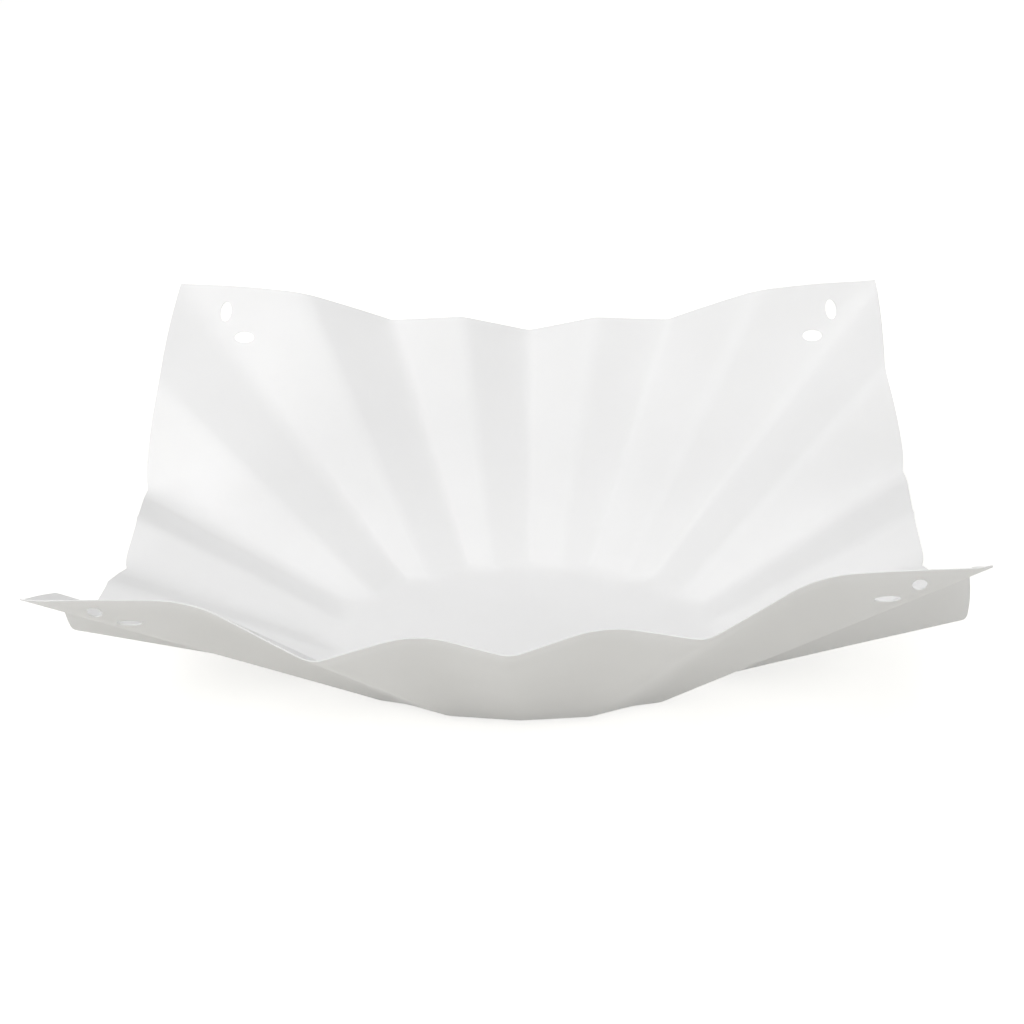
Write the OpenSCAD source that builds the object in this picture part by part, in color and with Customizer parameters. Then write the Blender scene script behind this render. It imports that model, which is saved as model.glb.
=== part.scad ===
// Paper liner for a hot pot: one square sheet, pleated from a flat floor up into
// flutes that spread the four sides and lift the four corners. Sizes are in millimetres.

/* [Sheet] */
// Side of the flat square sheet before it is folded
sheet_side = 280; // [240:1:340]
// Thickness of the paper
paper_t = 0.3; // [0.2:0.05:0.6]

/* [Floor] */
// Length of the oval through the floor ends of the valley creases, between the low sides
valley_oval_length = 142; // [110:1:170]
// Width of the oval through the floor ends of the valley creases, between the high sides
valley_oval_width = 97.5; // [80:0.5:120]
// Length of the oval through the floor ends of the ridge creases, between the low sides
ridge_oval_length = 128; // [100:1:150]
// Width of the oval through the floor ends of the ridge creases, between the high sides
ridge_oval_width = 92; // [70:1:110]
// How far the floor ends of the valley creases gather towards the high sides, as an angle
valley_gather = 6.5; // [0:0.5:12]
// How far the floor ends of the ridge creases gather towards the high sides, as an angle
ridge_gather = 1; // [0:0.5:12]
// Length of paper over which the floor bends up into the wall
bend_length = 8; // [4:0.5:16]

/* [Pleats] */
// Number of flutes round the bowl
flutes = 16; // [8:8:24]
// Slope of the valley crease at the middle of a low side
valley_slope_low = 23.5; // [10:0.5:40]
// Slope of the valley crease between a low side and a corner
valley_slope_low_end = 22.5; // [14:0.5:45]
// Slope of the valley crease that runs to a corner
valley_slope_corner = 37; // [25:0.5:50]
// Slope of the valley crease between a corner and a high side
valley_slope_high_end = 44.5; // [30:0.5:55]
// Slope of the valley crease at the middle of a high side
valley_slope_high = 46.5; // [30:0.5:60]
// Slope of the ridge crease nearest the middle of a low side
ridge_slope_low = 27.5; // [16:0.5:45]
// Slope of the ridge crease between a low side and a corner
ridge_slope_low_end = 33.5; // [20:0.5:50]
// Slope of the ridge crease between a corner and a high side
ridge_slope_high_end = 46; // [30:0.5:60]
// Slope of the ridge crease nearest the middle of a high side
ridge_slope_high = 50.5; // [32:0.5:62]
// How far every crease leans towards the low sides as it rises, as an angle
crease_lean = 3.5; // [0:0.5:10]
// How far two opposite corners rise and the other two sink
twist_lift = 1.3; // [0:0.1:6]
// Share of a pleat's face that is rounded at a valley crease of a high side
valley_round = 0.12; // [0.05:0.01:0.3]
// Share of a pleat's face that is rounded at a valley crease of a low side
low_valley_round = 0.36; // [0.05:0.01:0.5]
// Share of a pleat's face that is rounded at a ridge crease at the back
rear_ridge_round = 0.14; // [0.05:0.01:0.45]
// Share of a pleat's face that is rounded at a ridge crease at the front
front_ridge_round = 0.35; // [0.05:0.01:0.45]

/* [Settling] */
// Steeper pleats on the right low side and shallower ones on the left, as an angle
right_rise = 1.5; // [-4:0.5:4]
// Extra slope of the pleats on the right, behind the middle, as an angle
right_rear_rise = 5; // [-6:0.5:6]
// Extra slope of the pleats at the back, right of the middle, as an angle
rear_right_rise = -1; // [-6:0.5:6]
// Extra slope of the pleats at the rear left corner, as an angle
rear_left_rise = 1.5; // [-6:0.5:6]
// Extra slope of the pleats on the left, behind the middle, as an angle
left_rear_rise = -2; // [-6:0.5:6]
// Extra slope of the pleats at the middle of the left side, as an angle
left_rise = 1; // [-6:0.5:6]
// Extra slope of the pleats on the left, before the middle, as an angle
left_front_rise = 2.5; // [-6:0.5:6]
// Extra slope of the pleats at the front, left of the middle, as an angle
front_left_rise = -2.5; // [-6:0.5:6]
// Extra slope of the pleats at the front right corner, as an angle
front_right_rise = 2; // [-6:0.5:6]
// Extra slope of the pleats on the right, before the middle, as an angle
right_front_rise = 3.5; // [-6:0.5:6]
// Extra turn of the pleats on the right, behind the middle, as an angle
right_rear_swing = 2.5; // [-4:0.5:4]
// Extra turn of the pleats at the back, right of the middle, as an angle
rear_right_swing = 1.5; // [-4:0.5:4]
// Extra turn of the pleats at the rear left corner, as an angle
rear_left_swing = 2.5; // [-4:0.5:4]
// Extra turn of the pleats on the left, behind the middle, as an angle
left_rear_swing = -1.5; // [-4:0.5:4]
// Extra turn of the pleats at the middle of the left side, as an angle
left_swing = 1; // [-4:0.5:4]
// Extra turn of the pleats at the front, left of the middle, as an angle
front_left_swing = 1; // [-4:0.5:4]
// Extra turn of the pleats on the right, before the middle, as an angle
right_front_swing = 3.5; // [-4:0.5:4]

/* [Slots] */
// Length of each punched slot
slot_length = 7.2; // [4.5:0.1:9]
// Width of each punched slot
slot_width = 4; // [2:0.1:4.4]
// Distance of the outer slot from the corner, along the sheet's edge
outer_slot_along = 18; // [14:0.5:22]
// Distance of the outer slot's centre from the sheet's edge
outer_slot_inset = 9.5; // [7:0.5:11]
// Distance of the inner slot from the corner, along the sheet's edge
inner_slot_along = 26; // [24:0.5:36]
// Distance of the inner slot's centre from the sheet's edge
inner_slot_inset = 18.5; // [16:0.5:20]

/* [Hidden] */
$fn = 48;
half_side = sheet_side / 2;
half_bend = bend_length / 2;
creases = 2 * flutes;
pitch = 360 / creases;
// Height of the punch that cuts a slot, which passes the paper on both sides
punch_height = 6;
// Step used to find the direction of the surface
probe = 0.02;
// Places of the points across a face, from its valley crease to its ridge crease
function across(valley, ridge) = [0, valley / 2, valley, 1 - ridge, 1 - ridge / 2, 1];
face_steps = len(across(0, 0)) - 1;
columns = creases * face_steps;
bend_steps = 4;
wall_steps = 5;
rings = bend_steps + wall_steps + 1;

function unit_of(v) = v / norm(v);
function between(a, b, t) = a * (1 - t) + b * t;
function direction(turn, slope) = [cos(slope) * cos(turn), cos(slope) * sin(turn), sin(slope)];
function is_valley(k) = k % 2 == 0;

// Angle from the long axis, folded into one quarter of the bowl
function quarter(phi) = let (g = phi % 180) g > 90 ? 180 - g : g;
function valley_slope(phi) = lookup(quarter(phi), [
    [0, valley_slope_low],
    [22.5, valley_slope_low_end],
    [45, valley_slope_corner],
    [67.5, valley_slope_high_end],
    [90, valley_slope_high]]);
function ridge_slope(phi) = lookup(quarter(phi), [
    [11.25, ridge_slope_low],
    [33.75, ridge_slope_low_end],
    [56.25, ridge_slope_high_end],
    [78.75, ridge_slope_high]]);

// Places round the bowl where the pleats settled apart, and how far round each one reaches
settled_reach = 17;
function settled(phi, place) = max(0, 1 - abs((phi - place + 540) % 360 - 180) / settled_reach);
function settled_rise(phi) =
    right_rise * cos(phi)
    + right_rear_rise * settled(phi, 28)
    + rear_right_rise * settled(phi, 79)
    + rear_left_rise * settled(phi, 140.5)
    + left_rear_rise * settled(phi, 157.5)
    + left_rise * settled(phi, 197)
    + left_front_rise * settled(phi, 214)
    + front_left_rise * settled(phi, 247.5)
    + front_right_rise * settled(phi, 309.5)
    + right_front_rise * settled(phi, 326);
function settled_swing(phi) =
    right_rear_swing * settled(phi, 28)
    + rear_right_swing * settled(phi, 79)
    + rear_left_swing * settled(phi, 140.5)
    + left_rear_swing * settled(phi, 157.5)
    + left_swing * settled(phi, 197)
    + front_left_swing * settled(phi, 247.5)
    + right_front_swing * settled(phi, 326);

// Floor end of a crease, its far end on the flat sheet, and its far end on the folded one
function on_oval(length, width, turn) = [length / 2 * cos(turn), width / 2 * sin(turn), 0];
function crease_foot(phi, valley) = valley
    ? on_oval(valley_oval_length, valley_oval_width, phi + valley_gather * sin(2 * phi))
    : on_oval(ridge_oval_length, ridge_oval_width, phi + ridge_gather * sin(2 * phi));
function on_edge(phi) = let (g = (phi + 45) % 90 - 45) half_side / cos(g) * [cos(phi), sin(phi), 0];
function crease_tip(phi, valley) =
    let (
        foot = crease_foot(phi, valley),
        slope = (valley ? valley_slope(phi) : ridge_slope(phi)) + settled_rise(phi),
        turn = phi - crease_lean * sin(2 * phi) + settled_swing(phi),
        tip = foot + norm(on_edge(phi) - foot) * direction(turn, slope))
    tip - [0, 0, twist_lift * tip.x * tip.y / (half_side * half_side)];

// The creases in order, with one more at each end so that every crease has two neighbours
turns = [for (k = [-1 : creases + 1]) let (n = (k + creases) % creases) [n * pitch, is_valley(n)]];
feet = [for (t = turns) crease_foot(t[0], t[1])];
edge_ends = [for (t = turns) on_edge(t[0])];
climbs = [for (t = turns) unit_of(crease_tip(t[0], t[1]) - crease_foot(t[0], t[1]))];
function at_crease(list, k) = list[k + 1];
function crease_round(k) = is_valley(k)
    ? between(valley_round, low_valley_round, pow(cos(k * pitch), 4))
    : between(front_ridge_round, rear_ridge_round, (1 + sin(k * pitch)) / 2);

// Value at share u of face k, from straight runs between creases that are rounded at each crease
function rounded_at(list, k, reach, u) =
    let (t = (u + reach) / (2 * reach), v = at_crease(list, k))
    between(
        between(between(v, at_crease(list, k - 1), reach), v, t),
        between(v, between(v, at_crease(list, k + 1), reach), t), t);
function rounded(list, k, u) =
    u < crease_round(k) ? rounded_at(list, k, crease_round(k), u)
    : 1 - u < crease_round(k + 1) ? rounded_at(list, k + 1, crease_round(k + 1), u - 1)
    : between(at_crease(list, k), at_crease(list, k + 1), u);
function straight(list, k, u) = between(at_crease(list, k), at_crease(list, k + 1), u);

// Run of paper on the flat sheet from the floor's edge to the sheet's edge, at share u of face k
function flat_run(k, u) = straight(edge_ends, k, u) - straight(feet, k, u);
function risen(s) =
    s <= -half_bend ? 0
    : s >= half_bend ? s
    : (s + half_bend) * (s + half_bend) / (4 * half_bend);

// Place in space of the paper at share u of face k, a distance s outside the floor's edge
function folded(k, u, s) =
    rounded(feet, k, u)
    + (s - risen(s)) * unit_of(flat_run(k, u))
    + risen(s) * unit_of(rounded(climbs, k, u));
function facing(k, u, s) =
    let (
        here = folded(k, u, s),
        outward = here - folded(k, u, s - probe),
        side = u < 0.5 ? folded(k, u + probe / 4, s) - here : here - folded(k, u - probe / 4, s))
    unit_of(cross(outward, side));

// Distance from the floor's edge at ring i of a column
function ring_distance(k, u, i) =
    i <= bend_steps
        ? bend_length * (i / bend_steps - 1 / 2)
        : between(half_bend, norm(flat_run(k, u)), (i - bend_steps) / wall_steps);
function column_share(k, j) = is_valley(k)
    ? across(crease_round(k), crease_round(k + 1))[j]
    : 1 - across(crease_round(k + 1), crease_round(k))[face_steps - j];

function skin(height) = concat(
    [[0, 0, height]],
    [for (i = [0 : rings - 1]) for (k = [0 : creases - 1]) for (j = [0 : face_steps - 1])
        let (u = column_share(k, j), s = ring_distance(k, u, i))
        folded(k, u, s) + height * (i == 0 ? [0, 0, 1] : facing(k, u, s))]);
function at(layer, i, c) = layer * (1 + rings * columns) + 1 + i * columns + c % columns;
function centre(layer) = layer * (1 + rings * columns);

sheet_faces = concat(
    [for (c = [0 : columns - 1]) [centre(0), at(0, 0, c), at(0, 0, c + 1)]],
    [for (c = [0 : columns - 1]) [centre(1), at(1, 0, c + 1), at(1, 0, c)]],
    [for (i = [0 : rings - 2]) for (c = [0 : columns - 1]) each [
        [at(0, i, c), at(0, i + 1, c + 1), at(0, i, c + 1)],
        [at(0, i, c), at(0, i + 1, c), at(0, i + 1, c + 1)],
        [at(1, i, c), at(1, i, c + 1), at(1, i + 1, c + 1)],
        [at(1, i, c), at(1, i + 1, c + 1), at(1, i + 1, c)]]],
    [for (c = [0 : columns - 1]) each [
        [at(0, rings - 1, c), at(1, rings - 1, c), at(1, rings - 1, c + 1)],
        [at(0, rings - 1, c), at(1, rings - 1, c + 1), at(0, rings - 1, c + 1)]]]);

// The pleated sheet without its slots
module pleated_sheet() {
    polyhedron(points = concat(skin(0), skin(paper_t)), faces = sheet_faces, convexity = 12);
}

// Oval slot, long in x
module slot_outline() {
    scale([slot_length / slot_width, 1]) circle(d = slot_width);
}

// Crease that runs to a corner, and whether the next crease towards the high side comes after it
function corner_crease(x_side, y_side) =
    creases / 8 * (y_side > 0 ? (x_side > 0 ? 1 : 3) : (x_side < 0 ? 5 : 7));
function corner_share(x_side, y_side, t) = x_side * y_side > 0 ? t : 1 - t;
function corner_face(x_side, y_side) = corner_crease(x_side, y_side) - (x_side * y_side > 0 ? 0 : 1);

// Share of the corner face, counted from its corner, at which the paper lies the given distance
// along the edge from the corner and inset from the edge
function share_for(k, x_side, y_side, along, inset, t, turns_left) =
    let (
        u = corner_share(x_side, y_side, t),
        foot = straight(feet, k, u),
        end = straight(edge_ends, k, u),
        part = inset / (half_side - abs(foot.y)),
        reached = half_side - abs(between(end, foot, part).x),
        width = norm(at_crease(edge_ends, k + 1) - at_crease(edge_ends, k)),
        better = t + (along - reached) / width)
    turns_left == 0 ? [u, norm(end - foot) * (1 - part)]
    : share_for(k, x_side, y_side, along, inset, better, turns_left - 1);
function near_corner(x_side, y_side, along, inset) =
    let (
        k = corner_face(x_side, y_side),
        found = share_for(k, x_side, y_side, along, inset, 0.5, 6))
    folded(k, found[0], found[1]);

// Punch through the paper near a corner, with the slot's length along the edge or across it
module punch(x_side, y_side, along, inset, lies_along) {
    here = near_corner(x_side, y_side, along, inset);
    edge_way = unit_of(near_corner(x_side, y_side, along + probe, inset) - here);
    inner_way = unit_of(near_corner(x_side, y_side, along, inset + probe) - here);
    up = unit_of(cross(edge_way, inner_way)) * sign(cross(edge_way, inner_way).z);
    long_way = lies_along ? edge_way : inner_way;
    tilt = acos(up.z);
    turn = atan2(up.y, up.x);
    east = [cos(tilt) * cos(turn), cos(tilt) * sin(turn), -sin(tilt)];
    north = [-sin(turn), cos(turn), 0];
    translate(here)
        rotate([0, tilt, turn])
            rotate([0, 0, atan2(long_way * north, long_way * east)])
                linear_extrude(height = punch_height, center = true) slot_outline();
}

// Two slots at each corner, both on the side of the crease towards the high side
module corner_slots(x_side, y_side) {
    punch(x_side, y_side, outer_slot_along, outer_slot_inset, false);
    punch(x_side, y_side, inner_slot_along, inner_slot_inset, true);
}

module liner() {
    color([0.93, 0.94, 0.94])
        difference() {
            pleated_sheet();
            for (x_side = [-1, 1])
                for (y_side = [-1, 1])
                    corner_slots(x_side, y_side);
        }
}

liner();
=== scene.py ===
"""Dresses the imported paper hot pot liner, a square sheet of coated paper pleated into a bowl.

All lengths are in metres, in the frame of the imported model: the origin is the centre of the
underside of the flat floor, +X points to one low side, +Y to the high side at the back, +Z up.
"""

import logging
import math
from dataclasses import dataclass, field
from enum import Enum

import bpy
import numpy as np
from mathutils import Matrix


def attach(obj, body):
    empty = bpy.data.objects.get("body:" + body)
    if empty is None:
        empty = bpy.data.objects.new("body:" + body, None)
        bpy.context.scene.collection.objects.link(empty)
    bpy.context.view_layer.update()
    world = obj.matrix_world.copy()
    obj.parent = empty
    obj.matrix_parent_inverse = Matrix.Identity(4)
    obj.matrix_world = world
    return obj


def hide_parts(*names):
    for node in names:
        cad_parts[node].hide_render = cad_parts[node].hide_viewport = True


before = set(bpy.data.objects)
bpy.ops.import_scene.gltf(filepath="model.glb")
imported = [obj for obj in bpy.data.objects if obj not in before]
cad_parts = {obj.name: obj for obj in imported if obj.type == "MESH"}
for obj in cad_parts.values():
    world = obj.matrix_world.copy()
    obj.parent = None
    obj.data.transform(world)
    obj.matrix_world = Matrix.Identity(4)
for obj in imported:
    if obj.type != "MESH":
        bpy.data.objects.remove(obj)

log = logging.getLogger("liner_scene")

IMAGE_SIZE = 1024
SENSOR_WIDTH_MM = 36.0
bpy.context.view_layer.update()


def unit_of(vectors: np.ndarray) -> np.ndarray:
    """Vectors of length one that point the same way.

    Args:
        vectors: array whose last axis holds x, y and z.

    Returns:
        Each vector divided by its own length.
    """
    return vectors / np.linalg.norm(vectors, axis=-1, keepdims=True)


def blend(first: np.ndarray, second: np.ndarray, share: np.ndarray) -> np.ndarray:
    """Points between two sets of points.

    Args:
        first: points at share 0.
        second: points at share 1.
        share: how far each result lies from first to second.

    Returns:
        first times (1 - share) plus second times share.
    """
    weight = np.asarray(share)[..., None]
    return first * (1.0 - weight) + second * weight


def facing_axes(turn: float, lift: float) -> tuple[np.ndarray, np.ndarray]:
    """Directions of a lamp or camera that looks at the liner.

    Args:
        turn: where it stands, as an angle from the front towards +X, in degrees.
        lift: its height as an angle above the floor, in degrees.

    Returns:
        Unit vectors out of its back, and level to its right.
    """
    turn, lift = math.radians(turn), math.radians(lift)
    level = math.cos(lift)
    back = np.array([math.sin(turn) * level, -math.cos(turn) * level, math.sin(lift)])
    return back, np.array([math.cos(turn), math.sin(turn), 0.0])


def placed(right: np.ndarray, up: np.ndarray, back: np.ndarray, place: np.ndarray) -> Matrix:
    """Matrix of a lamp or camera, which both look against their own back.

    Args:
        right: unit vector to its right.
        up: unit vector to its top.
        back: unit vector out of its back.
        place: where it stands.

    Returns:
        The matrix whose columns are those four.
    """
    turned = np.eye(4)
    turned[:3] = np.stack([right, up, back, place], axis=-1)
    return Matrix(turned.tolist())


class CreaseKind(Enum):
    """Which way the paper is folded along a crease, seen from inside the bowl.

    The value is what remains when the crease's number is divided by two.
    """

    VALLEY = 0
    RIDGE = 1


@dataclass(frozen=True)
class CreaseSet:
    """Sizes of the creases of one kind.

    Args:
        oval_length: length of the oval through their floor ends.
        oval_width: width of that oval.
        gather: angle by which the floor ends gather towards the high sides, in degrees.
        turns: angles from the long axis, within one quarter, at which slopes are given.
        slopes: slope at each of those angles, in degrees.
    """

    oval_length: float
    oval_width: float
    gather: float
    turns: tuple[float, ...]
    slopes: tuple[float, ...]


VALLEYS = CreaseSet(
    oval_length=0.142,
    oval_width=0.0975,
    gather=6.5,
    turns=(0.0, 22.5, 45.0, 67.5, 90.0),
    slopes=(23.5, 22.5, 37.0, 44.5, 46.5),
)
RIDGES = CreaseSet(
    oval_length=0.128,
    oval_width=0.092,
    gather=1.0,
    turns=(11.25, 33.75, 56.25, 78.75),
    slopes=(27.5, 33.5, 46.0, 50.5),
)


@dataclass(frozen=True)
class CreaseRounding:
    """How soft the creases are, as the share of a face that is rounded at a crease.

    Args:
        high_valley: at a valley crease in the middle of a high side.
        low_valley: at a valley crease in the middle of a low side.
        rear_ridge: at a ridge crease in the middle of the rear side.
        front_ridge: at a ridge crease in the middle of the front side.
        valley_power: how fast a valley's rounding falls off away from a low side.
        front_power: how fast a ridge's rounding falls off away from the front.
    """

    high_valley: float = 0.12
    low_valley: float = 0.36
    rear_ridge: float = 0.14
    front_ridge: float = 0.35
    valley_power: int = 6
    front_power: int = 8

    def at(self, crease: np.ndarray, pitch: float) -> np.ndarray:
        """Rounding at each crease.

        A valley's rounding goes from the high sides' to the low sides' with an even power of the
        cosine of its angle. A ridge's is the rear's all round, but grows towards the middle of
        the front side with a power of how far forward the crease lies.

        Args:
            crease: numbers of creases, of which the even ones are valleys.
            pitch: angle between two creases, in degrees.

        Returns:
            One share for each crease.
        """
        turn = np.radians(crease * pitch)
        lowness = np.cos(turn) ** self.valley_power
        valley = self.high_valley + (self.low_valley - self.high_valley) * lowness
        forward = ((1.0 - np.sin(turn)) / 2) ** self.front_power
        ridge = self.rear_ridge + (self.front_ridge - self.rear_ridge) * forward
        return np.where(crease % 2 == CreaseKind.VALLEY.value, valley, ridge)


@dataclass(frozen=True)
class SettledPlace:
    """One place round the bowl where the pleats have settled apart from the rest.

    Args:
        turn: where it is, as an angle from +X, in degrees.
        rise: extra slope of the creases there, in degrees.
        swing: extra turn of the creases there, in degrees.
        reach: how far round the bowl it is felt, in degrees.
    """

    turn: float
    rise: float = 0.0
    swing: float = 0.0
    reach: float = 17.0

    def weight(self, angle: np.ndarray) -> np.ndarray:
        """How much a crease at each angle takes on.

        It is 1 at the place and falls evenly to 0 at its reach.

        Args:
            angle: angles of the creases from +X, in degrees.

        Returns:
            One share for each crease.
        """
        away = np.abs((angle - self.turn + 180.0) % 360.0 - 180.0)
        return np.clip(1.0 - away / self.reach, 0.0, None)


SETTLING = (
    SettledPlace(turn=28.0, rise=5.0, swing=2.5),
    SettledPlace(turn=79.0, rise=-1.0, swing=1.5),
    SettledPlace(turn=140.5, rise=1.5, swing=2.5),
    SettledPlace(turn=157.5, rise=-2.0, swing=-1.5),
    SettledPlace(turn=197.0, rise=1.0, swing=1.0),
    SettledPlace(turn=214.0, rise=2.5),
    SettledPlace(turn=247.5, rise=-2.5, swing=1.0),
    SettledPlace(turn=309.5, rise=2.0),
    SettledPlace(turn=326.0, rise=3.5, swing=3.5),
)


@dataclass(frozen=True)
class Slot:
    """One punched slot beside a corner of the sheet.

    Args:
        along: distance of its centre from the corner, along the sheet's edge.
        inset: distance of its centre from that edge.
        lies_along: True where its length runs along the edge, False where it runs across.
    """

    along: float
    inset: float
    lies_along: bool


OUTER_SLOT = Slot(along=0.018, inset=0.0095, lies_along=False)
INNER_SLOT = Slot(along=0.026, inset=0.0185, lies_along=True)


@dataclass
class PleatedFold:
    """The fold itself: where each point of the flat sheet lies once the sheet is pleated.

    Args:
        side: side of the flat square sheet.
        flutes: number of flutes round the bowl.
        bend: length of the bend from the floor into the wall.
        lean: angle by which the creases lean towards the low sides, in degrees.
        twist: lift of a corner, by which the rim is twisted.
        right_rise: extra slope at +X, and as much less at the other low side, in degrees.
        settling: the places where the pleats have settled apart.
        rounding: how soft the creases are.
        corner_steps: steps in which a place near a corner is found.
    """

    side: float = 0.280
    flutes: int = 16
    bend: float = 0.008
    lean: float = 3.5
    twist: float = 0.0013
    right_rise: float = 1.5
    settling: tuple[SettledPlace, ...] = SETTLING
    rounding: CreaseRounding = CreaseRounding()
    corner_steps: int = 7
    feet: np.ndarray = field(init=False)
    ends: np.ndarray = field(init=False)
    climbs: np.ndarray = field(init=False)

    def __post_init__(self) -> None:
        """Works out the floor end, the flat far end and the climbing direction of each crease.

        The floor end lies on an oval at the crease's angle plus a gathering angle. The far end
        on the flat sheet lies on the square's edge at the crease's angle. The crease keeps its
        length and climbs at its own slope, leaning a little towards the low sides, and takes the
        extra slope and turn of each settled place in reach of it. Towards the front the ridges'
        oval widens to the valleys' width, with the square root of how far forward the crease
        lies, because the lower edge there is smooth.
        """
        number = np.arange(self.creases)
        angle = number * self.pitch
        quarter = np.where(angle % 180.0 > 90.0, 180.0 - angle % 180.0, angle % 180.0)
        swing = np.sin(np.radians(2.0 * angle))

        def of_kind(kinds: CreaseSet) -> tuple[np.ndarray, np.ndarray]:
            """Floor ends and slopes that creases of that kind would have at every angle."""
            place = np.radians(angle + kinds.gather * swing)
            oval = (np.cos(place) * kinds.oval_length / 2, np.sin(place) * kinds.oval_width / 2)
            slopes = np.interp(quarter, kinds.turns, kinds.slopes)
            return np.stack([*oval, 0.0 * place], -1), slopes

        valley = (number % 2 == CreaseKind.VALLEY.value)[:, None]
        valley_feet, valley_slopes = of_kind(VALLEYS)
        ridge_feet, ridge_slopes = of_kind(RIDGES)
        forward = np.sqrt(np.clip(-np.sin(np.radians(angle)), 0.0, 1.0))
        ridge_feet[:, 1] *= 1.0 + forward * (VALLEYS.oval_width / RIDGES.oval_width - 1.0)
        self.feet = np.where(valley, valley_feet, ridge_feet)
        rise = self.right_rise * np.cos(np.radians(angle))
        rise = rise + sum(place.rise * place.weight(angle) for place in self.settling)
        slope = np.radians(np.where(valley[:, 0], valley_slopes, ridge_slopes) + rise)
        off_axis = np.radians((angle + 45.0) % 90.0 - 45.0)
        turn = np.radians(angle)
        reach = self.side / 2 / np.cos(off_axis)
        self.ends = reach[:, None] * np.stack([np.cos(turn), np.sin(turn), 0.0 * turn], -1)
        swung = sum(place.swing * place.weight(angle) for place in self.settling)
        turn = np.radians(angle - self.lean * swing + swung)
        level = np.cos(slope)
        way = np.stack([level * np.cos(turn), level * np.sin(turn), np.sin(slope)], -1)
        tips = self.feet + np.linalg.norm(self.ends - self.feet, axis=-1)[:, None] * way
        tips[:, 2] -= self.twist * tips[:, 0] * tips[:, 1] / (self.side / 2) ** 2
        self.climbs = unit_of(tips - self.feet)

    @property
    def creases(self) -> int:
        """Number of creases, a valley and a ridge for each flute."""
        return 2 * self.flutes

    @property
    def pitch(self) -> float:
        """Angle between two creases on the flat sheet, in degrees."""
        return 360.0 / self.creases

    def straight(self, values: np.ndarray, face: np.ndarray, share: np.ndarray) -> np.ndarray:
        """Values on straight lines from each crease to the next.

        Args:
            values: one row for each crease.
            face: number of the face, which is that of the crease where it starts.
            share: place across the face, from 0 to 1.

        Returns:
            The blend of the two creases' values.
        """
        return blend(values[face % self.creases], values[(face + 1) % self.creases], share)

    def rounded(self, values: np.ndarray, face: np.ndarray, share: np.ndarray) -> np.ndarray:
        """Values on straight lines between creases, with a parabola across each crease.

        The parabola starts on the line before the crease and ends on the line after it, and the
        crease's own value is its middle control point.

        Args:
            values: one row for each crease.
            face: number of the face.
            share: place across the face, from 0 to 1.

        Returns:
            The rounded values, one row for each place.
        """
        result = self.straight(values, face, share)
        for crease, offset in ((face, share), (face + 1, share - 1.0)):
            reach = self.rounding.at(crease, self.pitch)
            here = values[crease % self.creases]
            before = blend(here, values[(crease - 1) % self.creases], reach)
            after = blend(here, values[(crease + 1) % self.creases], reach)
            step = (offset + reach) / (2.0 * reach)
            curve = blend(blend(before, here, step), blend(here, after, step), step)
            result = np.where((np.abs(offset) < reach)[..., None], curve, result)
        return result

    def flat_run(self, face: np.ndarray, share: np.ndarray) -> np.ndarray:
        """Vector on the flat sheet from the floor's edge to the sheet's edge, at those places."""
        return self.straight(self.ends, face, share) - self.straight(self.feet, face, share)

    def flat(self, face: np.ndarray, share: np.ndarray, run: np.ndarray) -> np.ndarray:
        """Place on the flat sheet of the paper at a distance run outside the floor's edge."""
        way = unit_of(self.flat_run(face, share))
        return self.straight(self.feet, face, share) + way * np.asarray(run)[..., None]

    def folded(self, face: np.ndarray, share: np.ndarray, run: np.ndarray) -> np.ndarray:
        """Place in space of the paper at a distance run outside the floor's edge.

        The paper goes on flat for part of the run and climbs for the rest. The climbed part is
        0 before the bend, grows with the square of the distance through it, and is the whole
        run after it.

        Args:
            face: number of the face.
            share: place across the face, from 0 to 1.
            run: distance from the floor's edge along the paper, below 0 on the floor.

        Returns:
            Points in space.
        """
        half = self.bend / 2
        bent = (run + half) ** 2 / (4 * half)
        climbed = np.where(run <= -half, 0.0, np.where(run >= half, run, bent))
        level = unit_of(self.flat_run(face, share))
        climb = unit_of(self.rounded(self.climbs, face, share))
        foot = self.rounded(self.feet, face, share)
        return foot + level * (run - climbed)[..., None] + climb * climbed[..., None]

    def near_corner(self, x_side: int, y_side: int, along: float, inset: float) -> np.ndarray:
        """Place in space of the paper near a corner, on the side towards the high side.

        The share across the face is found in steps, each of which moves it by the distance
        along the edge that is still missing.

        Args:
            x_side: 1 or -1, the end of the long axis.
            y_side: 1 or -1, the high side.
            along: distance from the corner along the sheet's edge.
            inset: distance from the sheet's edge.

        Returns:
            One point in space.
        """
        eighth = self.creases // 8
        corner = eighth * {(1, 1): 1, (-1, 1): 3, (-1, -1): 5, (1, -1): 7}[(x_side, y_side)]
        forwards = x_side * y_side > 0
        face = np.array(corner if forwards else corner - 1)
        width = np.linalg.norm(self.ends[(face + 1) % self.creases] - self.ends[face])
        from_corner = 0.5
        for _ in range(self.corner_steps):
            share = np.array(from_corner if forwards else 1.0 - from_corner)
            foot = self.straight(self.feet, face, share)
            end = self.straight(self.ends, face, share)
            part = inset / (self.side / 2 - abs(foot[1]))
            reached = self.side / 2 - abs(blend(end, foot, part)[0])
            run = np.linalg.norm(end - foot) * (1.0 - part)
            from_corner += (along - reached) / width
        return self.folded(face, share, np.array(run))


class Layer(Enum):
    """The two skins of the sheet."""

    UNDER = 0
    UPPER = 1


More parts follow.
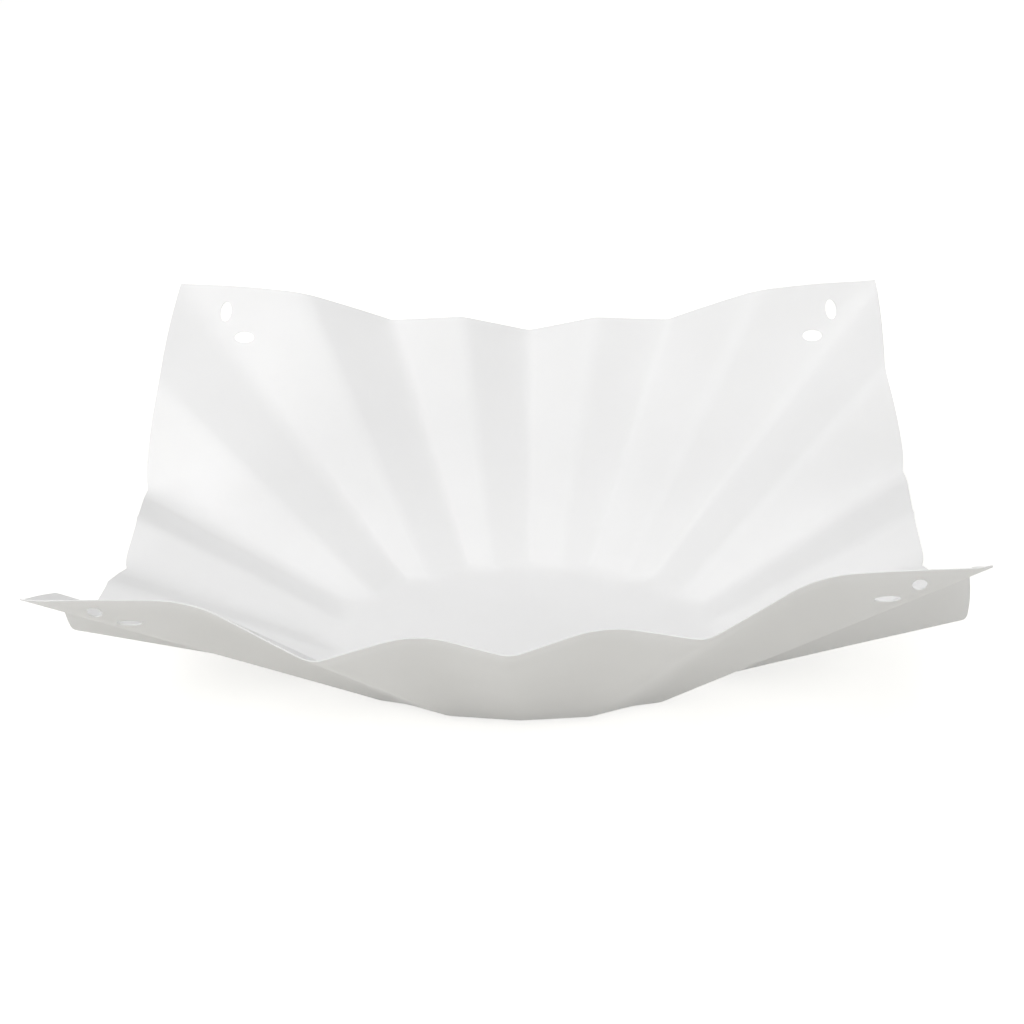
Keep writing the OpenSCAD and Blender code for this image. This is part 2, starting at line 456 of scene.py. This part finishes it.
@dataclass
class LinerSheet:
    """The folded sheet as one closed mesh, with its slots, its flat coordinates and its masks.

    Args:
        fold: the fold that it follows.
        thickness: thickness of the paper.
        slot_length: length of a slot.
        slot_width: width of a slot.
        slot_points: points round a slot's outline.
        punch_height: height of the tool that punches a slot.
        probe_step: step by which the paper's directions at a slot are felt.
        crease_columns: columns across each half of a rounded crease.
        middle_columns: columns across the flat middle of a face.
        floor_rings: rings on the floor.
        bend_rings: rings in the bend.
        wall_rings: rings on the wall.
        ridge_highlight_band: width of the painted highlight along a ridge, as a share of a face.
        rim_light_band: width of the painted light on the outside at the rim, as a share of the
            wall.
        sharp_angle: angle from which an edge is drawn sharp, in degrees.
    """

    fold: PleatedFold
    thickness: float = 0.0003
    slot_length: float = 0.0072
    slot_width: float = 0.004
    slot_points: int = 48
    punch_height: float = 0.006
    probe_step: float = 0.0002
    crease_columns: int = 5
    middle_columns: int = 4
    floor_rings: int = 10
    bend_rings: int = 8
    wall_rings: int = 44
    ridge_highlight_band: float = 0.10
    rim_light_band: float = 0.07
    sharp_angle: float = 50.0

    def columns(self) -> tuple[np.ndarray, np.ndarray]:
        """Face number and share of each column of points round the bowl.

        Columns stand closer together where the paper is rounded at a crease: some across the
        rounding at the face's first crease, some across its flat middle, and some across the
        rounding at its last crease.

        Returns:
            Two arrays, one value for each column.
        """
        number = np.arange(self.fold.creases)
        soft = self.fold.rounding.at(np.arange(self.fold.creases + 1), self.fold.pitch)
        first, last = soft[:-1], 1.0 - soft[1:]
        share = np.concatenate([
            np.linspace(0.0 * first, first, self.crease_columns, endpoint=False),
            np.linspace(first, last, self.middle_columns, endpoint=False),
            np.linspace(last, 1.0 + 0.0 * last, self.crease_columns, endpoint=False),
        ])
        return np.repeat(number, len(share)), share.T.ravel()

    def grid(self) -> tuple[np.ndarray, np.ndarray, np.ndarray]:
        """Surface points, flat points and wall shares on a grid of rings and columns.

        A floor ring is the innermost bend ring shrunk towards the centre. A bend ring and a wall
        ring lie at equal steps along the paper from the floor's edge to the sheet's edge.

        Returns:
            Points in space, points on the flat sheet, and how far up the wall each ring lies.
        """
        face, share = self.columns()
        length = np.linalg.norm(self.fold.flat_run(face, share), axis=-1)
        half = self.fold.bend / 2
        bend = np.linspace(-half, half, self.bend_rings, endpoint=False)[:, None] + 0.0 * length
        wall = np.linspace(0.0, 1.0, self.wall_rings + 1)[:, None]
        run = np.concatenate([bend, half + (length - half) * wall])
        face, share = face + 0 * run.astype(int), share + 0.0 * run
        space, flat = self.fold.folded(face, share, run), self.fold.flat(face, share, run)
        shrink = (np.arange(1, self.floor_rings) / self.floor_rings)[:, None, None]
        space = np.concatenate([space[0] * shrink, space])
        flat = np.concatenate([flat[0] * shrink, flat])
        rise = np.concatenate([np.zeros((self.floor_rings - 1, run.shape[1])), run / length])
        return space, flat, np.clip(rise, 0.0, 1.0)

    def facing(self, space: np.ndarray) -> np.ndarray:
        """Upward unit normals of the grid, from the steps to its neighbours.

        Args:
            space: points of the grid, rings first.

        Returns:
            The cross product of the step outwards and the step round the bowl, at unit length.
        """
        outward = np.gradient(space, axis=0)
        around = np.roll(space, -1, axis=1) - np.roll(space, 1, axis=1)
        return unit_of(np.cross(outward, around))

    def faces(self, rings: int, columns: int) -> np.ndarray:
        """Triangles and quads of the closed shell, as rows of four with -1 for no fourth corner.

        Args:
            rings: number of rings of the grid.
            columns: number of columns of the grid.

        Returns:
            Rows of vertex numbers, with faces outwards.
        """
        per_skin = 1 + rings * columns
        ring, column = np.meshgrid(np.arange(rings - 1), np.arange(columns), indexing="ij")
        after = (column + 1) % columns

        def at(layer: Layer, ring_number: np.ndarray, column_number: np.ndarray) -> np.ndarray:
            """Vertex number of a grid point of one skin."""
            return layer.value * per_skin + 1 + ring_number * columns + column_number

        def rows(*corners: np.ndarray) -> np.ndarray:
            """Rows of corner numbers from arrays of one shape."""
            return np.stack([c.ravel() for c in corners], -1)

        under, upper = Layer.UNDER, Layer.UPPER
        rim = np.full(columns, rings - 1)
        c, n = np.arange(columns), (np.arange(columns) + 1) % columns
        none, first = np.full(columns, -1), np.zeros(columns, int)
        here, beside = (ring, column), (ring, after)
        outside, across = (ring + 1, column), (ring + 1, after)
        return np.concatenate([
            rows(at(under, *here), at(under, *beside), at(under, *across), at(under, *outside)),
            rows(at(upper, *here), at(upper, *outside), at(upper, *across), at(upper, *beside)),
            rows(at(under, rim, c), at(under, rim, n), at(upper, rim, n), at(upper, rim, c)),
            rows(np.zeros(columns, int), at(under, first, n), at(under, first, c), none),
            rows(np.full(columns, per_skin), at(upper, first, c), at(upper, first, n), none),
        ])

    def punch(self, x_side: int, y_side: int, slot: Slot) -> bpy.types.Object:
        """The tool that punches one slot: an oval prism that stands square to the paper.

        Its outline is an ellipse as long and as wide as the slot.

        Args:
            x_side: 1 or -1, the end of the long axis.
            y_side: 1 or -1, the high side.
            slot: which slot of that corner.

        Returns:
            A mesh object that the sheet is cut with.
        """
        def near(along: float, inset: float) -> np.ndarray:
            """Place in space at those distances from the corner and the edge."""
            return self.fold.near_corner(x_side, y_side, along, inset)

        here = near(slot.along, slot.inset)
        edge_way = unit_of(near(slot.along + self.probe_step, slot.inset) - here)
        inner_way = unit_of(near(slot.along, slot.inset + self.probe_step) - here)
        up = unit_of(np.cross(edge_way, inner_way))
        up = up * np.sign(up[2])
        long_way = edge_way if slot.lies_along else inner_way
        cross_way = np.cross(up, long_way)
        count = self.slot_points
        turn = np.linspace(0.0, 2.0 * np.pi, count, endpoint=False)[:, None]
        lengthwise = self.slot_length / 2 * np.cos(turn) * long_way
        outline = here + lengthwise + self.slot_width / 2 * np.sin(turn) * cross_way
        half_height = up * self.punch_height / 2
        points = np.concatenate([outline - half_height, outline + half_height])
        side = [(i, (i + 1) % count, count + (i + 1) % count, count + i) for i in range(count)]
        caps = [tuple(range(count))[::-1], tuple(range(count, 2 * count))]
        mesh = bpy.data.meshes.new("slot_punch")
        mesh.from_pydata(points.tolist(), [], caps + side)
        cut_edge = mesh.attributes.new("cut_edge", "FLOAT", "FACE")
        cut_edge.data.foreach_set("value", np.ones(len(caps + side)))
        punch = bpy.data.objects.new("slot_punch", mesh)
        bpy.context.scene.collection.objects.link(punch)
        return punch

    def build(self) -> bpy.types.Object:
        """Makes the sheet's mesh and cuts its eight slots.

        Returns:
            The finished object, at the origin.
        """
        space, flat, rise = self.grid()
        rings, columns = space.shape[:2]
        lifted = space + self.thickness * self.facing(space)
        lifted[: self.floor_rings, :, 2] = self.thickness
        points = np.concatenate([
            np.zeros((1, 3)), space.reshape(-1, 3),
            np.array([[0.0, 0.0, self.thickness]]), lifted.reshape(-1, 3),
        ])
        faces = self.faces(rings, columns)
        corners = faces[faces >= 0]
        totals = (faces >= 0).sum(axis=1)
        mesh = bpy.data.meshes.new("folded_sheet")
        mesh.vertices.add(len(points))
        mesh.vertices.foreach_set("co", points.astype(np.float32).ravel())
        mesh.loops.add(len(corners))
        mesh.loops.foreach_set("vertex_index", corners.astype(np.int32))
        mesh.polygons.add(len(faces))
        mesh.polygons.foreach_set("loop_start", (np.cumsum(totals) - totals).astype(np.int32))
        mesh.update(calc_edges=True)
        mesh.validate()
        self.write_maps(mesh, flat, rise, corners)
        sheet = bpy.data.objects.new("pleated_paper", mesh)
        bpy.context.scene.collection.objects.link(sheet)
        for x_side in (-1, 1):
            for y_side in (-1, 1):
                for slot in (OUTER_SLOT, INNER_SLOT):
                    self.cut(sheet, self.punch(x_side, y_side, slot))
        mesh = sheet.data
        mesh.polygons.foreach_set("use_smooth", np.ones(len(mesh.polygons), bool))
        mesh.set_sharp_from_angle(angle=math.radians(self.sharp_angle))
        mesh.update()
        return sheet

    def write_maps(
        self, mesh: bpy.types.Mesh, flat: np.ndarray, rise: np.ndarray, corners: np.ndarray
    ) -> None:
        """Stores the flat sheet's coordinates as a UV map, and the masks that the paper reads.

        The ridge mask carries a painted highlight along each ridge, on both skins, and the rim
        mask carries painted light on the outside near the rim; each falls off as a bell curve of
        the distance from its ridge or the rim. The rim's faces are known by their place in the
        list, before the floor's two middle fans.

        Args:
            mesh: the uncut mesh.
            flat: place of each grid point on the flat sheet.
            rise: how far up the wall each grid point lies.
            corners: vertex number of each face corner, in order.
        """
        spread = flat[..., :2].reshape(-1, 2) / self.fold.side
        on_skin = np.concatenate([np.zeros((1, 2)), spread]) + 0.5
        places = np.concatenate([on_skin, on_skin])
        layer = mesh.uv_layers.new(name="flat_sheet")
        layer.data.foreach_set("uv", places[corners].astype(np.float32).ravel())
        face, share = self.columns()
        # Painted highlight along each ridge of the wall, on both skins.
        from_ridge = np.where(face % 2 == CreaseKind.VALLEY.value, 1.0 - share, share)
        ridge = np.exp(-((from_ridge / self.ridge_highlight_band) ** 2)) * (rise > 0.0)
        # Painted light on the outside skin only, strongest at the rim.
        rim_light_share = np.exp(-(((1.0 - rise) / self.rim_light_band) ** 2))
        for name, values, on_upper in (("ridge_painted_highlight", ridge, 1.0), ("rim_painted_light", rim_light_share, 0.0)):
            one = np.concatenate([[0.0], values.ravel()])
            both = np.concatenate([one, one * on_upper])
            mesh.attributes.new(name, "FLOAT", "POINT").data.foreach_set("value", both)
        columns = rise.shape[1]
        cut = np.zeros(len(mesh.polygons))
        cut[-3 * columns : -2 * columns] = 1.0
        mesh.attributes.new("cut_edge", "FLOAT", "FACE").data.foreach_set("value", cut)

    def cut(self, sheet: bpy.types.Object, punch: bpy.types.Object) -> None:
        """Takes the punch's volume out of the sheet, and removes the punch.

        Args:
            sheet: the paper.
            punch: the tool's object.
        """
        boolean = sheet.modifiers.new("slot", "BOOLEAN")
        boolean.operation, boolean.solver, boolean.object = "DIFFERENCE", "EXACT", punch
        graph = bpy.context.evaluated_depsgraph_get()
        cut_mesh = bpy.data.meshes.new_from_object(
            sheet.evaluated_get(graph), preserve_all_data_layers=True, depsgraph=graph
        )
        sheet.modifiers.clear()
        old = sheet.data
        sheet.data = cut_mesh
        bpy.data.meshes.remove(old)
        punch_mesh = punch.data
        bpy.data.objects.remove(punch)
        bpy.data.meshes.remove(punch_mesh)


@dataclass(frozen=True)
class CoatedPaper:
    """White coated paper: a fine fibre grain, a faint cloudy tone, a painted highlight along the
    ridges and painted light on the outside near the rim.

    Args:
        tone: colour of most of the paper.
        shaded_tone: colour where it is faintly clouded.
        painted_light_tone: colour of the painted highlight on ridges and of the painted light
            near the rim.
        edge_tone: colour of the cut edges.
        ridge_highlight_share: share of that colour in the painted highlight on a ridge.
        roughness_low: roughness where the coating is closed.
        roughness_high: roughness where fibres show.
        specular: strength of the coating's gloss.
        sheen: strength of the sheen of loose fibres.
        grain_scale: fineness of the fibres.
        cloud_scale: fineness of the clouds.
        grain_depth: depth of the grain.
        grain_strength: strength of the grain's bump.
        noise_low: noise value at which a blend starts.
        noise_high: noise value at which a blend ends.
        fibre_stretch: how the sheet's coordinates are stretched to draw out the fibres.
        speck_ratio: how much finer the specks are than the fibres.
        speck_share: share of the specks in the bump.
    """

    tone: tuple[float, float, float, float] = (0.866, 0.865, 0.864, 1.0)
    shaded_tone: tuple[float, float, float, float] = (0.848, 0.847, 0.845, 1.0)
    painted_light_tone: tuple[float, float, float, float] = (0.9, 0.9, 0.902, 1.0)
    edge_tone: tuple[float, float, float, float] = (0.78, 0.78, 0.775, 1.0)
    ridge_highlight_share: float = 0.1
    roughness_low: float = 0.5
    roughness_high: float = 0.62
    specular: float = 0.35
    sheen: float = 0.05
    grain_scale: float = 330.0
    cloud_scale: float = 9.0
    grain_depth: float = 0.00006
    grain_strength: float = 0.6
    noise_low: float = 0.3
    noise_high: float = 0.7
    fibre_stretch: tuple[float, float, float] = (1.0, 0.55, 1.0)
    speck_ratio: float = 2.7
    speck_share: float = 0.4

    def grain_group(self) -> bpy.types.NodeTree:
        """Shader effects of the paper's fibres, as one group with named sockets.

        Returns:
            A node group with inputs Vector, Grain Scale and Cloud Scale, and outputs Cloud,
            Grain and Height, which all vary over the surface.
        """
        group = bpy.data.node_groups.new("paper_fibre_grain", "ShaderNodeTree")
        sockets = group.interface
        sockets.new_socket("Vector", in_out="INPUT", socket_type="NodeSocketVector")
        sockets.new_socket("Grain Scale", in_out="INPUT", socket_type="NodeSocketFloat")
        sockets.new_socket("Cloud Scale", in_out="INPUT", socket_type="NodeSocketFloat")
        for name in ("Cloud", "Grain", "Height"):
            sockets.new_socket(name, in_out="OUTPUT", socket_type="NodeSocketFloat")
        nodes, links = group.nodes, group.links
        source, sink = nodes.new("NodeGroupInput"), nodes.new("NodeGroupOutput")
        stretch = nodes.new("ShaderNodeVectorMath")
        stretch.operation = "MULTIPLY"
        stretch.inputs[1].default_value = self.fibre_stretch
        fibre, speck, cloud = (nodes.new("ShaderNodeTexNoise") for _ in range(3))
        fibre.inputs["Detail"].default_value = 3.0
        fibre.inputs["Distortion"].default_value = 0.6
        speck.inputs["Detail"].default_value = 2.0
        cloud.inputs["Detail"].default_value = 4.0
        finer = nodes.new("ShaderNodeMath")
        finer.operation = "MULTIPLY"
        finer.inputs[1].default_value = self.speck_ratio
        mixed = nodes.new("ShaderNodeMix")
        mixed.inputs["Factor"].default_value = self.speck_share
        links.new(source.outputs["Vector"], stretch.inputs[0])
        links.new(stretch.outputs[0], fibre.inputs["Vector"])
        links.new(source.outputs["Grain Scale"], fibre.inputs["Scale"])
        links.new(source.outputs["Grain Scale"], finer.inputs[0])
        links.new(source.outputs["Vector"], speck.inputs["Vector"])
        links.new(finer.outputs[0], speck.inputs["Scale"])
        links.new(source.outputs["Vector"], cloud.inputs["Vector"])
        links.new(source.outputs["Cloud Scale"], cloud.inputs["Scale"])
        links.new(fibre.outputs["Fac"], mixed.inputs["A"])
        links.new(speck.outputs["Fac"], mixed.inputs["B"])
        links.new(cloud.outputs["Fac"], sink.inputs["Cloud"])
        links.new(speck.outputs["Fac"], sink.inputs["Grain"])
        links.new(mixed.outputs["Result"], sink.inputs["Height"])
        return group

    def material(self) -> bpy.types.Material:
        """The paper's material.

        Returns:
            A Principled material whose colour, roughness and bump vary with the grain.
        """
        material = bpy.data.materials.new("coated_paper")
        material.use_nodes = True
        nodes, links = material.node_tree.nodes, material.node_tree.links
        shader = nodes["Principled BSDF"]
        shader.inputs["Specular IOR Level"].default_value = self.specular
        shader.inputs["Sheen Weight"].default_value = self.sheen
        place = nodes.new("ShaderNodeUVMap")
        place.uv_map = "flat_sheet"
        grain = nodes.new("ShaderNodeGroup")
        grain.node_tree = self.grain_group()
        grain.inputs["Grain Scale"].default_value = self.grain_scale
        grain.inputs["Cloud Scale"].default_value = self.cloud_scale
        links.new(place.outputs["UV"], grain.inputs["Vector"])
        tone = nodes.new("ShaderNodeValToRGB")
        dim, plain = tone.color_ramp.elements
        dim.position, dim.color = self.noise_low, self.shaded_tone
        plain.position, plain.color = self.noise_high, self.tone
        links.new(grain.outputs["Cloud"], tone.inputs["Fac"])
        colour = tone.outputs["Color"]
        # Painted highlight along the ridges, painted light on the outside near the rim, then the
        # cut edges' colour.
        for attribute, strength, shade in (
            ("ridge_painted_highlight", self.ridge_highlight_share, self.painted_light_tone),
            ("rim_painted_light", 1.0, self.painted_light_tone),
            ("cut_edge", 1.0, self.edge_tone),
        ):
            mask = nodes.new("ShaderNodeAttribute")
            mask.attribute_name = attribute
            share = nodes.new("ShaderNodeMath")
            share.operation = "MULTIPLY"
            share.inputs[1].default_value = strength
            mixed = nodes.new("ShaderNodeMix")
            mixed.data_type = "RGBA"
            mixed.inputs["B"].default_value = shade
            links.new(mask.outputs["Fac"], share.inputs[0])
            links.new(share.outputs[0], mixed.inputs["Factor"])
            links.new(colour, mixed.inputs["A"])
            colour = mixed.outputs["Result"]
        links.new(colour, shader.inputs["Base Color"])
        gloss = nodes.new("ShaderNodeMapRange")
        gloss.inputs["From Min"].default_value = self.noise_low
        gloss.inputs["From Max"].default_value = self.noise_high
        gloss.inputs["To Min"].default_value = self.roughness_low
        gloss.inputs["To Max"].default_value = self.roughness_high
        links.new(grain.outputs["Grain"], gloss.inputs["Value"])
        links.new(gloss.outputs["Result"], shader.inputs["Roughness"])
        bump = nodes.new("ShaderNodeBump")
        bump.inputs["Distance"].default_value = self.grain_depth
        bump.inputs["Strength"].default_value = self.grain_strength
        links.new(grain.outputs["Height"], bump.inputs["Height"])
        links.new(bump.outputs["Normal"], shader.inputs["Normal"])
        return material


@dataclass
class Liner:
    """The liner: the folded sheet in its coated paper."""

    sheet: LinerSheet
    paper: CoatedPaper

    def build(self) -> bpy.types.Object:
        """Makes the piece, dresses it and puts it in the place of its CAD node.

        Returns:
            The finished piece.
        """
        piece = self.sheet.build()
        piece.data.materials.clear()
        piece.data.materials.append(self.paper.material())
        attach(piece, "root")
        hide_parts("liner")
        return piece


@dataclass(frozen=True)
class SoftLamp:
    """A square soft lamp that faces the liner.

    Args:
        name: the lamp's name.
        turn: where it hangs, as an angle from the front towards +X, in degrees.
        lift: its height as an angle above the floor, in degrees.
        size: length of its side.
        power: its power in watts.
        distance: how far it hangs from the liner's floor.
    """

    name: str
    turn: float
    lift: float
    size: float
    power: float
    distance: float = 1.6

    def build(self) -> bpy.types.Object:
        """Makes the lamp.

        Returns:
            The lamp's object.
        """
        back, right = facing_axes(self.turn, self.lift)
        light = bpy.data.lights.new(self.name, "AREA")
        light.shape, light.size, light.energy = "SQUARE", self.size, self.power
        lamp = bpy.data.objects.new(self.name, light)
        lamp.matrix_world = placed(right, np.cross(back, right), back, back * self.distance)
        bpy.context.scene.collection.objects.link(lamp)
        return lamp


LAMPS = (
    SoftLamp(name="left_lamp", turn=-55.0, lift=30.0, size=0.9, power=5.3),
    SoftLamp(name="left_high_lamp", turn=-55.0, lift=55.0, size=0.9, power=8.2),
    SoftLamp(name="right_lamp", turn=50.0, lift=35.0, size=0.9, power=8.2),
    SoftLamp(name="rear_lamp", turn=170.0, lift=45.0, size=0.9, power=3.4),
    SoftLamp(name="top_lamp", turn=0.0, lift=85.0, size=0.9, power=2.6),
    SoftLamp(name="low_lamp", turn=-22.0, lift=6.0, size=0.4, power=3.9),
)


@dataclass
class Studio:
    """A white floor and plain soft light."""

    lamps: tuple[SoftLamp, ...] = LAMPS
    floor_size: float = 12.0
    floor_drop: float = 0.0002
    floor_tone: tuple[float, float, float, float] = (0.64, 0.632, 0.598, 1.0)
    world_strength: float = 0.16
    glow: float = 0.68

    def plainly_seen(self, tree: bpy.types.NodeTree) -> bpy.types.NodeSocket:
        """Where the camera looks at the background, straight or by way of metal or glass.

        Args:
            tree: the node tree that asks.

        Returns:
            A socket that is 1 for camera, glossy and transmission rays, and 0 for the rest.
        """
        rays = tree.nodes.new("ShaderNodeLightPath")
        seen = rays.outputs["Is Camera Ray"]
        for kind in ("Is Glossy Ray", "Is Transmission Ray"):
            either = tree.nodes.new("ShaderNodeMath")
            either.operation = "MAXIMUM"
            tree.links.new(seen, either.inputs[0])
            tree.links.new(rays.outputs[kind], either.inputs[1])
            seen = either.outputs[0]
        return seen

    def floor(self) -> bpy.types.Object:
        """The floor, a wide square that takes the liner's shadow and shows white to the camera.

        Returns:
            The floor's object.
        """
        half = self.floor_size / 2
        mesh = bpy.data.meshes.new("studio_floor")
        corners = [(-half, -half, -self.floor_drop), (half, -half, -self.floor_drop),
                   (half, half, -self.floor_drop), (-half, half, -self.floor_drop)]
        mesh.from_pydata(corners, [], [(0, 1, 2, 3)])
        floor = bpy.data.objects.new("studio_floor", mesh)
        bpy.context.scene.collection.objects.link(floor)
        material = bpy.data.materials.new("white_floor")
        material.use_nodes = True
        nodes, links = material.node_tree.nodes, material.node_tree.links
        shader = nodes["Principled BSDF"]
        shader.inputs["Roughness"].default_value = 1.0
        shader.inputs["Specular IOR Level"].default_value = 0.0
        shader.inputs["Base Color"].default_value = self.floor_tone
        shader.inputs["Emission Color"].default_value = (1.0, 1.0, 1.0, 1.0)
        glowing = nodes.new("ShaderNodeMath")
        glowing.operation = "MULTIPLY"
        glowing.inputs[1].default_value = self.glow
        links.new(self.plainly_seen(material.node_tree), glowing.inputs[0])
        links.new(glowing.outputs[0], shader.inputs["Emission Strength"])
        mesh.materials.append(material)
        return floor

    def world(self) -> None:
        """Even light from all round, which the camera sees as white."""
        world = bpy.data.worlds.new("studio_world")
        bpy.context.scene.world = world
        world.use_nodes = True
        nodes, links = world.node_tree.nodes, world.node_tree.links
        background = nodes["Background"]
        background.inputs["Color"].default_value = (1.0, 1.0, 1.0, 1.0)
        strength = nodes.new("ShaderNodeMapRange")
        strength.inputs["To Min"].default_value = self.world_strength
        strength.inputs["To Max"].default_value = 1.0
        links.new(self.plainly_seen(world.node_tree), strength.inputs["Value"])
        links.new(strength.outputs["Result"], background.inputs["Strength"])

    def build(self) -> None:
        """Makes the floor, the world and the lamps."""
        self.floor()
        self.world()
        for lamp in self.lamps:
            lamp.build()


@dataclass(frozen=True)
class ShotCamera:
    """The camera at the photograph's viewing angle."""

    elevation: float = 32.93
    turn: float = 1.93
    roll: float = -0.61
    distance: float = 0.5771
    focal_pixels: float = 1688.8
    centre_pixel: tuple[float, float] = (524.0, 638.8)

    def build(self) -> bpy.types.Object:
        """Makes the camera, which looks at the centre of the liner's floor.

        The camera's back points along the elevation and the turn, its right is level, and both
        right and up are turned about the back by the roll.

        Returns:
            The camera's object, set as the scene's camera.
        """
        roll = math.radians(self.roll)
        back, level = facing_axes(self.turn, self.elevation)
        upright = np.cross(back, level)
        right = np.cos(roll) * level + np.sin(roll) * upright
        up = np.cos(roll) * upright - np.sin(roll) * level
        data = bpy.data.cameras.new("shot_camera")
        data.sensor_width = SENSOR_WIDTH_MM
        data.lens = SENSOR_WIDTH_MM * self.focal_pixels / IMAGE_SIZE
        data.shift_x = 0.5 - self.centre_pixel[0] / IMAGE_SIZE
        data.shift_y = self.centre_pixel[1] / IMAGE_SIZE - 0.5
        data.clip_start, data.clip_end = 0.01, 50.0
        camera = bpy.data.objects.new("shot_camera", data)
        camera.matrix_world = placed(right, up, back, back * self.distance)
        bpy.context.scene.collection.objects.link(camera)
        bpy.context.scene.camera = camera
        return camera


def report(piece: bpy.types.Object) -> None:
    """Logs a piece's name and how many faces it has."""
    log.info("%s: %d faces", piece.name, len(piece.data.polygons))


def main() -> None:
    """Builds the liner and the studio."""
    logging.basicConfig(level=logging.INFO, format="%(message)s")
    bpy.context.scene.view_settings.view_transform = "Standard"
    report(Liner(sheet=LinerSheet(fold=PleatedFold()), paper=CoatedPaper()).build())
    Studio().build()
    ShotCamera().build()


if __name__ == "__main__":
    main()
